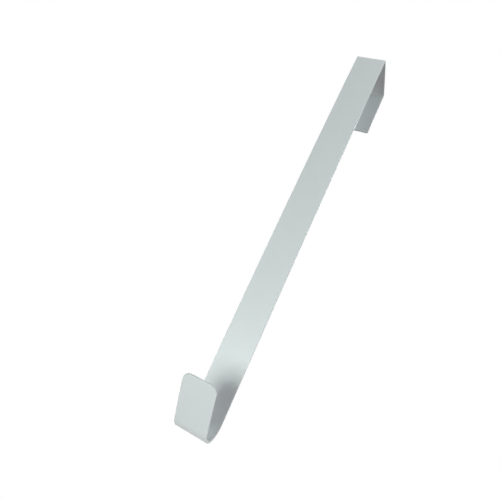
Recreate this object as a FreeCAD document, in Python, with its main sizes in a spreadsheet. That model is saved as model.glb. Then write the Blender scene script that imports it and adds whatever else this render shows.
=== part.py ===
import FreeCAD, Part
import math
import os
import Sketcher

# Over door hook: one strip of steel, folded cold.
# It stands here as it hangs on a door: X runs across the strip, +Y points to the door's back
# and +Z is up. The origin is the middle of the seat, the underside of the top plate.

doc = FreeCAD.newDocument("OverDoorHook")

# Driving dimensions, in millimetres and degrees
SIZES = (
    ("strip_width", 26.0, "width of the steel strip"),
    ("strip_thickness", 1.5, "thickness of the steel, coat included"),
    ("door_gap", 45.0, "clear space for the door between leg and back tab"),
    ("back_tab_length", 45.5, "reach of the back tab below the seat"),
    ("fold_radius", 1.5, "inside radius of the two folds at the top"),
    ("leg_drop", 346.0, "from the seat down to the lowest point of the hook"),
    ("leg_bow", 2.8, "how far the middle of the leg springs away from the door"),
    ("hook_radius", 11.6, "inside radius of the hook bend"),
    ("hook_lean", 33.2, "lean of the hook tab away from the leg"),
    ("hook_tab_length", 36.8, "straight length of the hook tab"),
    ("tip_corner_radius", 6.0, "rounding of the two corners at the hook's tip"),
    ("back_corner_radius", 1.0, "rounding of the two corners of the back tab"),
    ("edge_radius", 0.25, "soft edge that blanking and coat leave on the strip"),
)
sheet = doc.addObject("Spreadsheet::Sheet", "Sizes")
for row, (name, value, note) in enumerate(SIZES, start=1):
    sheet.set("A%d" % row, name)
    sheet.set("B%d" % row, str(value))
    sheet.set("C%d" % row, note)
    sheet.setAlias("B%d" % row, name)
doc.recompute()


def size(name):
    """Value of one driving dimension, read from the sheet."""
    return float(sheet.get(name))


def origin_plane(body, role):
    """The body's own origin plane with the given role."""
    return next(item for item in body.Origin.OriginFeatures if item.Role == role)


# Folded profile of the strip, seen from its side: sketch x is Y and sketch y is Z.
# Every bend is a pair of arcs about one centre, so the thickness set once at the top plate
# carries through all folds to both ends.
strip = doc.addObject("PartDesign::Body", "hook_strip")
strip.Label = "hook_strip"
strip.Placement = FreeCAD.Placement()
profile = strip.newObject("Sketcher::SketchObject", "FoldedProfile")
profile.AttachmentSupport = (origin_plane(strip, "YZ_Plane"), [""])
profile.MapMode = "FlatFace"

thickness = size("strip_thickness")
half_gap = size("door_gap") / 2
fold_inside = size("fold_radius")
fold_outside = fold_inside + thickness
hook_inside = size("hook_radius")
hook_outside = hook_inside + thickness
lean = math.radians(size("hook_lean"))
bow = size("leg_bow")
leg_foot = hook_outside - size("leg_drop")
leg_chord = -fold_inside - leg_foot
leg_radius = leg_chord ** 2 / (8 * bow) + bow / 2
leg_turn = math.asin(leg_chord / 2 / leg_radius)


def at(y, z):
    """A point of the profile."""
    return FreeCAD.Vector(y, z, 0)


def line(start, end):
    """Adds a straight run to the profile and gives its number."""
    return profile.addGeometry(Part.LineSegment(start, end), False)


def arc(centre, radius, start_angle, end_angle):
    """Adds an arc, counter-clockwise between two angles in radians, and gives its number."""
    circle = Part.Circle(centre, FreeCAD.Vector(0, 0, 1), radius)
    return profile.addGeometry(Part.ArcOfCircle(circle, start_angle, end_angle), False)


UP = math.pi / 2
back_fold_centre = at(half_gap - fold_inside, -fold_inside)
front_fold_centre = at(fold_inside - half_gap, -fold_inside)
leg_centre = at(leg_radius - bow - half_gap, (leg_foot - fold_inside) / 2)
hook_centre = at(-half_gap - hook_outside, leg_foot)
back_tab_end = -size("back_tab_length")
tab_start = math.pi + lean
tab_run = at(-math.sin(lean), math.cos(lean)) * size("hook_tab_length")


def on_hook(radius):
    """Where the hook tab leaves a bend of the given radius."""
    return hook_centre + at(math.cos(tab_start), math.sin(tab_start)) * radius


# Side away from the door, from the back tab round to the inside of the hook
back_outer = line(at(half_gap + thickness, back_tab_end), at(half_gap + thickness, -fold_inside))
back_fold_outer = arc(back_fold_centre, fold_outside, 0, UP)
plate_outer = line(at(half_gap - fold_inside, thickness), at(fold_inside - half_gap, thickness))
front_fold_outer = arc(front_fold_centre, fold_outside, UP, math.pi - leg_turn)
leg_front = arc(leg_centre, leg_radius + thickness, math.pi - leg_turn, math.pi + leg_turn)
hook_inner = arc(hook_centre, hook_inside, tab_start, 2 * math.pi + leg_turn)
tab_inner = line(on_hook(hook_inside), on_hook(hook_inside) + tab_run)
tip = line(on_hook(hook_inside) + tab_run, on_hook(hook_outside) + tab_run)

# Side towards the door, from the outside of the hook back to the back tab
tab_outer = line(on_hook(hook_outside), on_hook(hook_outside) + tab_run)
hook_outer = arc(hook_centre, hook_outside, tab_start, 2 * math.pi + leg_turn)
leg_back = arc(leg_centre, leg_radius, math.pi - leg_turn, math.pi + leg_turn)
front_fold_inner = arc(front_fold_centre, fold_inside, UP, math.pi - leg_turn)
seat = line(at(half_gap - fold_inside, 0), at(fold_inside - half_gap, 0))
back_fold_inner = arc(back_fold_centre, fold_inside, 0, UP)
back_inner = line(at(half_gap, back_tab_end), at(half_gap, -fold_inside))
back_end = line(at(half_gap, back_tab_end), at(half_gap + thickness, back_tab_end))

START, END, CENTRE = range(1, 4)
X_AXIS, Y_AXIS = range(-1, -3, -1)
ORIGIN = (X_AXIS, START)


def tangent(first, first_point, second, second_point):
    """Lets one run pass smoothly into the next."""
    profile.addConstraint(Sketcher.Constraint("Tangent", first, first_point, second, second_point))


def join(first, first_point, second, second_point):
    """Puts two points of the profile together."""
    profile.addConstraint(Sketcher.Constraint("Coincident", first, first_point, second, second_point))


# The runs follow each other smoothly on both sides of the strip
for tab, back_fold, plate, front_fold, leg in (
        (back_outer, back_fold_outer, plate_outer, front_fold_outer, leg_front),
        (back_inner, back_fold_inner, seat, front_fold_inner, leg_back)):
    tangent(tab, END, back_fold, START)
    tangent(back_fold, END, plate, START)
    tangent(plate, END, front_fold, START)
    tangent(front_fold, END, leg, START)
for leg, bend, tab in ((leg_front, hook_inner, tab_inner), (leg_back, hook_outer, tab_outer)):
    tangent(leg, END, bend, END)
    tangent(bend, START, tab, START)

# Square ends close the strip
join(tab_inner, END, tip, START)
join(tab_outer, END, tip, END)
join(back_inner, START, back_end, START)
join(back_outer, START, back_end, END)

# The two sides of each bend share a centre
for inner, outer in ((back_fold_inner, back_fold_outer), (front_fold_inner, front_fold_outer),
                     (leg_back, leg_front), (hook_inner, hook_outer)):
    join(inner, CENTRE, outer, CENTRE)

# Directions of the straight runs
for level in (seat, plate_outer, back_end):
    profile.addConstraint(Sketcher.Constraint("Horizontal", level))
for upright in (back_inner, back_outer):
    profile.addConstraint(Sketcher.Constraint("Vertical", upright))
profile.addConstraint(Sketcher.Constraint("Parallel", tab_inner, tab_outer))
profile.addConstraint(Sketcher.Constraint("Perpendicular", tip, tab_outer))
profile.addConstraint(Sketcher.Constraint("PointOnObject", seat, START, X_AXIS))


def bind(constraint, name, expression):
    """Adds a dimension to the profile and ties it to the sheet."""
    number = profile.addConstraint(constraint)
    profile.renameConstraint(number, name)
    profile.setExpression("Constraints." + name, expression)


bind(Sketcher.Constraint("DistanceX", *ORIGIN, back_inner, START, half_gap),
     "back_face", "Sizes.door_gap / 2")
bind(Sketcher.Constraint("DistanceX", front_fold_inner, END, *ORIGIN, half_gap),
     "front_face", "Sizes.door_gap / 2")
bind(Sketcher.Constraint("DistanceY", seat, START, plate_outer, START, thickness),
     "thickness", "Sizes.strip_thickness")
bind(Sketcher.Constraint("DistanceY", back_inner, START, *ORIGIN, -back_tab_end),
     "back_tab", "Sizes.back_tab_length")
bind(Sketcher.Constraint("Radius", back_fold_inner, fold_inside),
     "back_fold", "Sizes.fold_radius")
bind(Sketcher.Constraint("Radius", front_fold_inner, fold_inside),
     "front_fold", "Sizes.fold_radius")
bind(Sketcher.Constraint("Radius", leg_back, leg_radius),
     "leg_curve", "(Sizes.leg_drop - Sizes.fold_radius - Sizes.hook_radius - Sizes.strip_thickness)^2"
     " / (8 * Sizes.leg_bow) + Sizes.leg_bow / 2")
bind(Sketcher.Constraint("Radius", hook_inner, hook_inside),
     "hook_bend", "Sizes.hook_radius")
bind(Sketcher.Constraint("DistanceX", hook_outer, CENTRE, *ORIGIN, half_gap + hook_outside),
     "foot_on_door", "Sizes.door_gap / 2 + Sizes.hook_radius + Sizes.strip_thickness")
bind(Sketcher.Constraint("DistanceY", hook_outer, CENTRE, *ORIGIN, -leg_foot),
     "drop", "Sizes.leg_drop - Sizes.hook_radius - Sizes.strip_thickness")
bind(Sketcher.Constraint("Angle", Y_AXIS, START, tab_outer, START, lean),
     "lean", "Sizes.hook_lean")
bind(Sketcher.Constraint("Distance", tab_outer, size("hook_tab_length")),
     "hook_tab", "Sizes.hook_tab_length")
doc.recompute()

# The profile runs straight across the strip's width
folded = strip.newObject("PartDesign::Pad", "FoldedStrip")
folded.Profile = profile
folded.SideType = "Symmetric"
folded.setExpression("Length", "Sizes.strip_width")
doc.recompute()


# Points nearer to each other than this are one place
SAME_PLACE = 0.01


def corner_edges(feature, y, z):
    """Names of the short edges through the thickness at one end of the strip, at (y, z)."""
    names = []
    for number, edge in enumerate(feature.Shape.Edges, start=1):
        middle = edge.CenterOfMass
        if math.hypot(middle.y - y, middle.z - z) < SAME_PLACE and abs(middle.x) > SAME_PLACE:
            names.append("Edge%d" % number)
    return names


def rounded(name, base, edges, radius):
    """Rounds edges of the strip with a radius from the sheet."""
    fillet = strip.newObject("PartDesign::Fillet", name)
    fillet.Base = (base, edges)
    fillet.setExpression("Radius", radius)
    doc.recompute()
    return fillet


tip_middle = (on_hook(hook_inside) + on_hook(hook_outside)) / 2 + tab_run
tip_corners = rounded("TipCorners", folded, corner_edges(folded, tip_middle.x, tip_middle.y),
                      "Sizes.tip_corner_radius")
back_corners = rounded("BackTabCorners", tip_corners,
                       corner_edges(tip_corners, half_gap + thickness / 2, back_tab_end),
                       "Sizes.back_corner_radius")


# Two faces that meet at a sharp edge have normals that are nearly square to each other
SHARP = 0.5


def rim_edges(feature):
    """Names of the sharp edges, which run round the strip on both of its sides."""
    names = []
    for number, edge in enumerate(feature.Shape.Edges, start=1):
        faces = feature.Shape.ancestorsOfType(edge, Part.Face)
        corner = edge.valueAt(edge.FirstParameter)
        normals = [face.normalAt(*face.Surface.parameter(corner)) for face in faces]
        if abs(normals[0].dot(normals[1])) < SHARP:
            names.append("Edge%d" % number)
    return names


soft_edges = rounded("SoftEdges", back_corners, rim_edges(back_corners), "Sizes.edge_radius")
strip.Tip = soft_edges
doc.recompute()

# Nothing is written unless every step of the model worked
for item in doc.Objects:
    if "Invalid" in item.State or "Error" in item.State:
        raise RuntimeError("%s could not be built: %s" % (item.Label, item.State))
if strip.Shape.isNull() or not strip.Shape.isValid():
    raise RuntimeError("the strip is not a sound solid")

os.makedirs("parts", exist_ok=True)
strip.Shape.exportStep("parts/%s.step" % strip.Label)
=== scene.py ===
import math
import bpy
import numpy as np
from mathutils import Matrix, Vector


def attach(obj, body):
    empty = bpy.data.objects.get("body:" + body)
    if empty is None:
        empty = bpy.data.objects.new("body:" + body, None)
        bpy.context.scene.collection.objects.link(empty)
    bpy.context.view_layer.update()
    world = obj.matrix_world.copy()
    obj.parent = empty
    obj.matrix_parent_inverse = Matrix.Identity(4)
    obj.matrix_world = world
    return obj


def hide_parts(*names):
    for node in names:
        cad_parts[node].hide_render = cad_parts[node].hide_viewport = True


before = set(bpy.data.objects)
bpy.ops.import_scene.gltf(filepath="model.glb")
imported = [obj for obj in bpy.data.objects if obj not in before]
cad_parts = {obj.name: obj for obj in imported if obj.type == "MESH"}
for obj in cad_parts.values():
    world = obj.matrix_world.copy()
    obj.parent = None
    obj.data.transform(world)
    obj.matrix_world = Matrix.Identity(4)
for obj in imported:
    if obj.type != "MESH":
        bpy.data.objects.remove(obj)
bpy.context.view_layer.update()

# The strip
# One flat steel strip is blanked with rounded tip corners, deburred, and folded cold over two
# tight bars and one round one. Flat, it is a plate with soft edges; the folds carry that plate
# along a path of straight runs and arcs, which lies in the middle plane, square to the door.
MM = 0.001
WIDTH = 26.0 * MM
THICKNESS = 1.5 * MM
DOOR_GAP = 45.0 * MM
BACK_TAB = 45.5 * MM
FOLD_INSIDE = 1.5 * MM
LEG_DROP = 346.0 * MM
LEG_BOW = 2.8 * MM
HOOK_INSIDE = 11.6 * MM
HOOK_LEAN = math.radians(33.2)
HOOK_TAB = 36.8 * MM
TIP_CORNER = 6.0 * MM
BACK_CORNER = 1.0 * MM
SOFT_EDGE = 0.25 * MM

fold_middle = FOLD_INSIDE + THICKNESS / 2
hook_middle = HOOK_INSIDE + THICKNESS / 2
leg_foot = HOOK_INSIDE + THICKNESS - LEG_DROP
leg_chord = -FOLD_INSIDE - leg_foot
# The leg is a shallow arc: its radius follows from its chord and its bow. It leaves the fold a
# little outwards and meets the hook bend a little inwards.
leg_middle = leg_chord ** 2 / (8 * LEG_BOW) + LEG_BOW / 2 + THICKNESS / 2
leg_turn = math.asin(leg_chord / (2 * leg_middle + hook_middle - fold_middle))

# Runs of the middle line from the back tab's end to the tip: length and turn, in radians
RUNS = np.array([
    (BACK_TAB - FOLD_INSIDE, 0.0),
    (fold_middle * math.pi / 2, math.pi / 2),
    (DOOR_GAP - 2 * FOLD_INSIDE, 0.0),
    (fold_middle * (math.pi / 2 - leg_turn), math.pi / 2 - leg_turn),
    (leg_middle * 2 * leg_turn, 2 * leg_turn),
    (hook_middle * (math.pi + leg_turn - HOOK_LEAN), -(math.pi + leg_turn - HOOK_LEAN)),
    (HOOK_TAB, 0.0),
])
run_start = np.concatenate(([0.0], np.cumsum(RUNS[:, 0])))
run_heading = math.pi / 2 + np.concatenate(([0.0], np.cumsum(RUNS[:, 1])))
LENGTH = run_start[-1]


def run_end(start, heading, length, turn):
    """End of one run in the Y-Z plane: straight along its heading, or along a circle's chord.

    A chord's length is its arc's times the sine of half the turn over half the turn, and it
    points half the turn away from the heading at the start.
    """
    half = turn / 2
    reach = np.expand_dims(length * np.sinc(half / math.pi), -1)
    return start + np.stack([np.cos(heading + half), np.sin(heading + half)], -1) * reach


corners = [np.array([DOOR_GAP / 2 + THICKNESS / 2, -BACK_TAB])]
for (length, turn), heading in zip(RUNS, run_heading):
    corners.append(run_end(corners[-1], heading, length, turn))
run_corner = np.array(corners)


def folded(along, across, out):
    """Carries points of the flat plate along the folded path.

    along is the distance from the back tab's end, across the distance from the strip's middle
    plane, and out the distance from the middle of the thickness, towards the side that faces
    away from the door and into the hook. A point is the path's own at its distance along, moved
    by across along X and by out square to the path. With the points come the path's direction
    and the way out of the plate at each.
    """
    run = np.clip(np.searchsorted(run_start, along, side="right") - 1, 0, len(RUNS) - 1)
    part = (along - run_start[run]) / RUNS[run, 0]
    turn = RUNS[run, 1] * part
    point = run_end(run_corner[run], run_heading[run], RUNS[run, 0] * part, turn)
    heading = run_heading[run] + turn
    still = np.zeros_like(heading)
    forward = np.stack([still, np.cos(heading), np.sin(heading)], -1)
    outward = np.stack([still, np.sin(heading), -np.cos(heading)], -1)
    middle = np.column_stack([across, point])
    return middle + outward * out[:, None], forward, outward


# Rows of points lie no further apart than this, along a straight run or round a bend
ROW_STEP = 4 * MM
ROW_TURN = math.radians(4)
CORNER_ROWS = 13
# Nearer to an end than this, the corners' own rows are enough
BACK_CLEAR = BACK_CORNER * 1.5
TIP_CLEAR = TIP_CORNER * 1.1


def stations():
    """Distances along the plate where it gets a row of points: close in bends, wide elsewhere."""
    parts = []
    for (length, turn), start in zip(RUNS, run_start):
        steps = max(math.ceil(abs(turn) / ROW_TURN), math.ceil(length / ROW_STEP))
        parts.append(start + length * np.arange(steps) / steps)
    return np.concatenate(parts + [[LENGTH]])


def plate_rows(inset):
    """Rows of the plate's outline, moved in by inset.

    Each row has its distance along the plate, half the width there, and the way out of the
    outline, as (across, along). The corners are quarter circles, walked by angle from the end
    edge to the long edge.
    """
    angle = np.linspace(0, math.pi / 2, CORNER_ROWS)
    half = WIDTH / 2 - inset
    back = BACK_CORNER - inset
    tip = TIP_CORNER - inset
    middle = stations()
    middle = middle[(middle > BACK_CLEAR) & (middle < LENGTH - TIP_CLEAR)]
    along = np.concatenate([inset + back * (1 - np.cos(angle)), middle,
                            LENGTH - inset - tip * (1 - np.cos(angle[::-1]))])
    width = np.concatenate([half - back + back * np.sin(angle), np.full(len(middle), half),
                            half - tip + tip * np.sin(angle[::-1])])
    way_out = np.concatenate([np.stack([np.sin(angle), -np.cos(angle)], -1),
                              np.tile([1.0, 0.0], (len(middle), 1)),
                              np.stack([np.sin(angle[::-1]), np.cos(angle[::-1])], -1)])
    return along, width, way_out


# Points from edge to edge of a face, and steps round each soft edge
COLUMNS = 15
ROUND_STEPS = 6


def quads(block):
    """Four-cornered faces between the neighbours in a grid of point numbers."""
    return np.stack([block[:-1, :-1], block[:-1, 1:], block[1:, 1:], block[1:, :-1]],
                    -1).reshape(-1, 4)


def strip_mesh():
    """Two faces of the plate and the soft rim between them, all folded along the path.

    Each face is a grid: a row for each station and columns from edge to edge. The rim follows
    the face's border round, and leaves it along a quarter circle, down the side and back in.
    Normals are those of the flat plate, turned along the path as the points are.
    """
    along, width, way_out = plate_rows(SOFT_EDGE)
    share = np.linspace(-1, 1, COLUMNS)
    grid_along = np.repeat(along[:, None], COLUMNS, 1)
    grid_across = width[:, None] * share
    rows = len(along)
    number = np.arange(rows * COLUMNS).reshape(rows, COLUMNS)

    # Border of a face, once round: right edge, tip, left edge, back end
    border = np.concatenate([number[:, -1], number[-1, -2:0:-1], number[::-1, 0], number[0, 1:-1]])
    end = np.zeros((COLUMNS - 2, 2))
    border_out = np.concatenate([way_out, end + [0, 1], way_out[::-1] * [-1, 1], end + [0, -1]])
    angle = np.linspace(0, math.pi / 2, ROUND_STEPS + 1)
    rim_angle = np.concatenate([angle[1:], angle[:0:-1]])
    rim_side = np.repeat([1.0, -1.0], ROUND_STEPS)
    rim_height = rim_side * (THICKNESS / 2 - SOFT_EDGE + SOFT_EDGE * np.cos(rim_angle))
    rim_way = np.sin(rim_angle)[:, None, None] * border_out
    rim_across = grid_across.ravel()[border] + SOFT_EDGE * rim_way[..., 0]
    rim_along = grid_along.ravel()[border] + SOFT_EDGE * rim_way[..., 1]
    rim_out = np.repeat(rim_height, len(border))

    face = np.full(number.size, THICKNESS / 2)
    flat_along = np.concatenate([grid_along.ravel(), grid_along.ravel(), rim_along.ravel()])
    flat_across = np.concatenate([grid_across.ravel(), grid_across.ravel(), rim_across.ravel()])
    flat_out = np.concatenate([face, -face, rim_out])
    points, forward, outward = folded(flat_along, flat_across, flat_out)

    still = np.zeros(number.size)
    normal_across = np.concatenate([still, still, rim_way[..., 0].ravel()])
    normal_along = np.concatenate([still, still, rim_way[..., 1].ravel()])
    rim_normal_out = np.repeat(rim_side * np.cos(rim_angle), len(border))
    normal_out = np.concatenate([still + 1, still - 1, rim_normal_out])
    normals = forward * normal_along[:, None] + outward * normal_out[:, None]
    normals[:, 0] += normal_across

    rings = 2 * number.size + np.arange(rim_out.size).reshape(len(rim_angle), len(border))
    ladder = np.concatenate([border[None], rings, border[None] + number.size])
    ladder = np.concatenate([ladder, ladder[:, :1]], 1)
    faces = np.concatenate([quads(number)[:, ::-1], quads(number + number.size), quads(ladder)])
    mesh = bpy.data.meshes.new("folded_strip")
    mesh.from_pydata(points, [], faces)
    mesh.shade_smooth()
    mesh.normals_split_custom_set_from_vertices(normals)
    # How far a point is into a rounded edge: 0 on the flats, 1 in the middle of the round
    rounding = np.concatenate([still, still, np.repeat(np.sin(2 * rim_angle), len(border))])
    mesh.attributes.new("rounding", "FLOAT", "POINT").data.foreach_set("value", rounding)
    return mesh


strip = bpy.data.objects.new("folded_strip", strip_mesh())
bpy.context.scene.collection.objects.link(strip)
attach(strip, "root")
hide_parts("hook_strip")

# The coat
# Satin powder coat, baked on after folding, in a pale grey with a breath of green. The baked
# skin has a fine orange peel, and faint clouds and specks where the powder lay thicker. It draws
# back from the rounded edges, where it is thinner, darker and smoother in places.
COAT_COLOR = (0.610, 0.655, 0.645)
COAT_ROUGHNESS = 0.43
PEEL_WAVE = 2.2 * MM
PEEL_DEPTH = 0.07 * MM
CLOUD_WAVE = 22 * MM
CLOUD_SHADE = 0.03
CLOUD_ROUGHNESS = 0.06
SPECK_WAVE = 0.35 * MM
SPECK_SHADE = 0.025
SPECK_ROUGHNESS = 0.10
THIN_WAVE = 3 * MM
THIN_SHADE = 0.08
THIN_ROUGHNESS = 0.14


class Wire:
    """One output socket of the coat's nodes.

    A sum written on wires and numbers adds the Math nodes that work it out, and node() adds a
    node of any other kind.
    """

    def __init__(self, tree, socket=None):
        self.tree = tree
        self.socket = socket

    def node(self, kind, settings, inputs, output=0):
        """Adds a node: first its settings, then a value or a wire for each named socket."""
        made = self.tree.nodes.new(kind)
        for name, value in settings.items():
            setattr(made, name, value)
        for name, value in inputs.items():
            if isinstance(value, Wire):
                self.tree.links.new(value.socket, made.inputs[name])
            else:
                made.inputs[name].default_value = value
        return Wire(self.tree, made.outputs[output])

    def work_out(self, operation, first, second):
        """Adds a Math node on two wires or numbers."""
        return self.node("ShaderNodeMath", {"operation": operation}, {0: first, 1: second})

    def __add__(self, other):
        return self.work_out("ADD", self, other)

    def __radd__(self, other):
        return self.work_out("ADD", other, self)

    def __sub__(self, other):
        return self.work_out("SUBTRACT", self, other)

    def __rsub__(self, other):
        return self.work_out("SUBTRACT", other, self)

    def __mul__(self, other):
        return self.work_out("MULTIPLY", self, other)

    def __rmul__(self, other):
        return self.work_out("MULTIPLY", other, self)

    def mix(self, first, second):
        """Colour that runs from the first to the second as the wire runs from 0 to 1."""
        return self.node("ShaderNodeMix", {"data_type": "RGBA"}, {0: self, 6: first, 7: second}, 2)

    def into(self, node, name):
        """Leads the wire into a socket of a node that is already there."""
        self.tree.links.new(self.socket, node.inputs[name])


coat = bpy.data.materials.new("satin_powder_coat")
coat.use_nodes = True
bsdf = coat.node_tree.nodes["Principled BSDF"]
nodes = Wire(coat.node_tree)
place = nodes.node("ShaderNodeTexCoord", {}, {}, "Object")


def grain(wave, detail, roughness):
    """Soft noise that runs through the solid, between 0 and 1, with the given wavelength."""
    return nodes.node("ShaderNodeTexNoise", {}, {
        "Vector": place, "Scale": 1 / wave, "Detail": detail, "Roughness": roughness}, "Fac")


peel = grain(PEEL_WAVE, detail=2.0, roughness=0.45)
cloud = grain(CLOUD_WAVE, detail=2.0, roughness=0.5) - 0.5
speck = grain(SPECK_WAVE, detail=1.0, roughness=0.5) - 0.5
rounding = nodes.node("ShaderNodeAttribute", {"attribute_name": "rounding"}, {}, "Fac")
thin = grain(THIN_WAVE, detail=1.0, roughness=0.5) * rounding

shade = 1 + CLOUD_SHADE * cloud + SPECK_SHADE * speck - THIN_SHADE * thin
nodes.node("ShaderNodeVectorMath", {"operation": "SCALE"}, {
    "Vector": COAT_COLOR, "Scale": shade}, "Vector").into(bsdf, "Base Color")
(COAT_ROUGHNESS + CLOUD_ROUGHNESS * cloud + SPECK_ROUGHNESS * speck
 - THIN_ROUGHNESS * thin).into(bsdf, "Roughness")
nodes.node("ShaderNodeBump", {}, {
    "Strength": 1.0, "Distance": PEEL_DEPTH, "Height": peel}, "Normal").into(bsdf, "Normal")
strip.data.materials.append(coat)

# Floor
# A sheet of white paper well below the hanging hook. It glows to the camera and in reflections,
# as white as the room, and a little less below the hook, where the lamps light it as well and
# the hook's faint shadow lies.
FLOOR_HEIGHT = -0.70
FLOOR_REACH = 30.0
FLOOR_COLOR = (0.05, 0.05, 0.05, 1)
GLOW_BELOW_HOOK = 0.94
# The glow rises to white between these distances from the hook's seat
GLOW_START = 0.72
GLOW_END = 1.15
paper = bpy.data.meshes.new("floor")
paper.from_pydata([(x * FLOOR_REACH, y * FLOOR_REACH, FLOOR_HEIGHT)
                   for x, y in ((-1, -1), (1, -1), (1, 1), (-1, 1))], [], [(0, 1, 2, 3)])
floor = bpy.data.objects.new("floor", paper)
bpy.context.scene.collection.objects.link(floor)
white = bpy.data.materials.new("white_paper")
white.use_nodes = True
paper.materials.append(white)
sheet = white.node_tree.nodes["Principled BSDF"]
nodes = Wire(white.node_tree)
sheet.inputs["Base Color"].default_value = FLOOR_COLOR
sheet.inputs["Roughness"].default_value = 1.0
sheet.inputs["Specular IOR Level"].default_value = 0.0
place = nodes.node("ShaderNodeTexCoord", {}, {}, "Object")
distance = nodes.node("ShaderNodeVectorMath", {"operation": "LENGTH"}, {0: place}, "Value")
glow = nodes.node("ShaderNodeMapRange", {"interpolation_type": "SMOOTHSTEP"}, {
    "Value": distance, "From Min": GLOW_START, "From Max": GLOW_END,
    "To Min": GLOW_BELOW_HOOK, "To Max": 1.0}, "Result")
nodes.node("ShaderNodeVectorMath", {"operation": "SCALE"}, {
    "Vector": (1, 1, 1), "Scale": glow}, "Vector").into(sheet, "Emission Color")
seen = nodes.node("ShaderNodeLightPath", {}, {}, "Is Camera Ray")
mirrored = nodes.node("ShaderNodeLightPath", {}, {}, "Is Glossy Ray")
nodes.work_out("MAXIMUM", seen, mirrored).into(sheet, "Emission Strength")

# Room
# A white room with little light of its own. The lamps are soft boxes turned to the hook's bend:
# the main one low in front, one high on the right, two low on the right that open the shadows,
# and one each on the left, behind and above for the faces that the camera doesn't see.
ROOM_LIGHT = (0.10, 0.10, 0.11)
BEND_PLACE = Vector((0.0, -0.026, -0.303))
world = bpy.data.worlds.new("room")
world.use_nodes = True
bpy.context.scene.world = world
backdrop = world.node_tree.nodes["Background"]
nodes = Wire(world.node_tree)
seen = nodes.node("ShaderNodeLightPath", {}, {}, "Is Camera Ray")
mirrored = nodes.node("ShaderNodeLightPath", {}, {}, "Is Glossy Ray")
through = nodes.node("ShaderNodeLightPath", {}, {}, "Is Transmission Ray")
straight = nodes.work_out("MAXIMUM", nodes.work_out("MAXIMUM", seen, mirrored), through)
straight.mix(ROOM_LIGHT + (1,), (1, 1, 1, 1)).into(backdrop, "Color")
backdrop.inputs["Strength"].default_value = 1.0


def softbox(name, azimuth, elevation, distance, size, power, color):
    """A lamp turned to the hook's bend, azimuth degrees to the left of straight in front.

    elevation is in degrees, distance and size in metres, and power in watts.
    """
    lamp = bpy.data.lights.new(name, "AREA")
    lamp.shape = "RECTANGLE"
    lamp.size, lamp.size_y = size
    lamp.energy = power
    lamp.color = color
    turn = math.radians(azimuth)
    lift = math.radians(elevation)
    way = Vector((-math.sin(turn) * math.cos(lift), -math.cos(turn) * math.cos(lift),
                  math.sin(lift)))
    box = bpy.data.objects.new(name, lamp)
    box.matrix_world = (Matrix.Translation(BEND_PLACE + way * distance)
                        @ way.to_track_quat("Z", "Y").to_matrix().to_4x4())
    box.visible_camera = False
    bpy.context.scene.collection.objects.link(box)


softbox("key", 12.2, -13.5, 0.60, (0.32, 0.29), 2.57, (0.931, 1.0, 0.977))
softbox("window", -60.0, 39.0, 0.60, (0.50, 0.36), 1.25, (0.885, 0.99, 1.0))
softbox("bounce", -60.0, -33.0, 0.60, (0.50, 0.30), 1.95, (1.0, 0.90, 0.955))
softbox("side", -90.0, -35.0, 0.60, (0.30, 0.30), 0.88, (1.0, 0.90, 0.955))
softbox("left", 90.0, 22.0, 0.85, (0.30, 0.20), 1.10, (1.0, 1.0, 1.0))
softbox("behind", 168.0, 30.0, 1.00, (0.70, 0.70), 8.2, (0.97, 1.0, 1.0))
softbox("above", -30.0, 75.0, 0.75, (0.40, 0.40), 0.94, (1.0, 0.88, 0.91))

# Camera: where the photograph was taken from, in front of the hook, low and to its right.
# It is turned on its side a little, so the leg runs from the lower left to the upper right.
CAMERA_PLACE = (0.0999, -0.3304, -0.2828)
CAMERA_HEADING = math.radians(22.86)
CAMERA_RISE = math.radians(14.02)
CAMERA_ROLL = math.radians(25.91)
CAMERA_LENS = 30.15
CAMERA_SENSOR = 36.0
CAMERA_SHIFT = -0.0200
camera = bpy.data.objects.new("camera", bpy.data.cameras.new("camera"))
camera.data.sensor_width = CAMERA_SENSOR
camera.data.lens = CAMERA_LENS
camera.data.shift_y = CAMERA_SHIFT
camera.matrix_world = (
    Matrix.Translation(CAMERA_PLACE)
    @ Matrix.Rotation(CAMERA_HEADING, 4, "Z")
    @ Matrix.Rotation(math.pi / 2 + CAMERA_RISE, 4, "X")
    @ Matrix.Rotation(CAMERA_ROLL, 4, "Z")
)
bpy.context.scene.collection.objects.link(camera)
bpy.context.scene.camera = camera
bpy.context.scene.view_settings.view_transform = "Standard"
